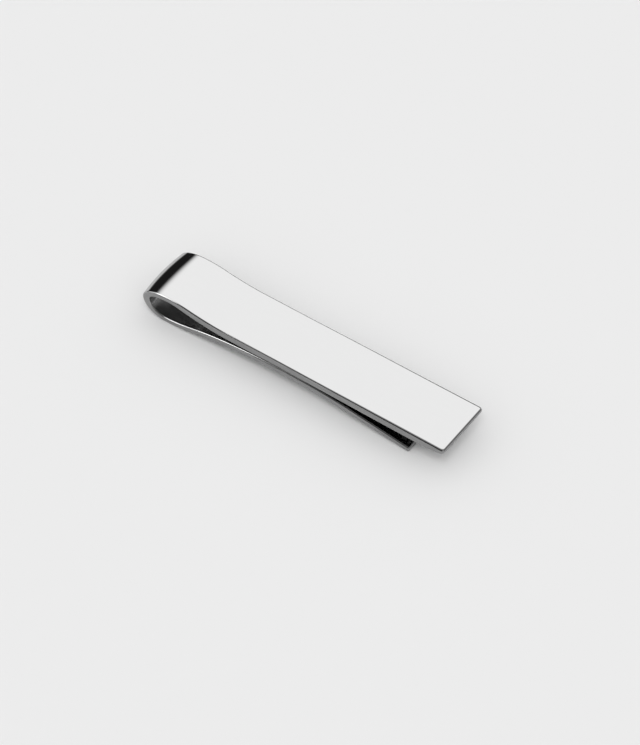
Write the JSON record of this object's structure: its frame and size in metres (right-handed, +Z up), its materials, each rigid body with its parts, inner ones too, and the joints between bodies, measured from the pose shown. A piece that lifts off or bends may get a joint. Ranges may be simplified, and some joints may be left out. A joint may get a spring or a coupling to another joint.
{
  "type": "money clip",
  "caption": "Slim spring money clip bent from one polished metal strip: flat front plate, teardrop spring loop and a crowned gripping tongue with a flared tip.",
  "frame": {"origin": "on the table, under the middle of the clip's length and width", "axes": "+X from the spring loop to the free end of the front plate, +Y across the strip, +Z up through the flat face of the front plate"},
  "size_m": [0.0556, 0.0104, 0.0057],
  "materials": {
    "polished_steel": "mirror polished stainless steel, neutral grey, with softly rounded polished edges"
  },
  "bodies": {
    "back_leaf": {"loop_lower": "polished_steel", "spring_leg": "polished_steel", "grip_tongue": "polished_steel", "tongue_tip": "polished_steel"},
    "front_leaf": {"front_plate": "polished_steel", "front_shoulder": "polished_steel", "loop_upper": "polished_steel"}
  },
  "joints": [
    {"name": "loop_flex", "type": "hinge", "parent": "back_leaf", "child": "front_leaf", "pos_m": [-0.02707, 0, 0.00327], "axis": [0, -1, 0], "range_deg": [0, 7.5], "stiffness_Nm_per_rad": 0.6}
  ]
}
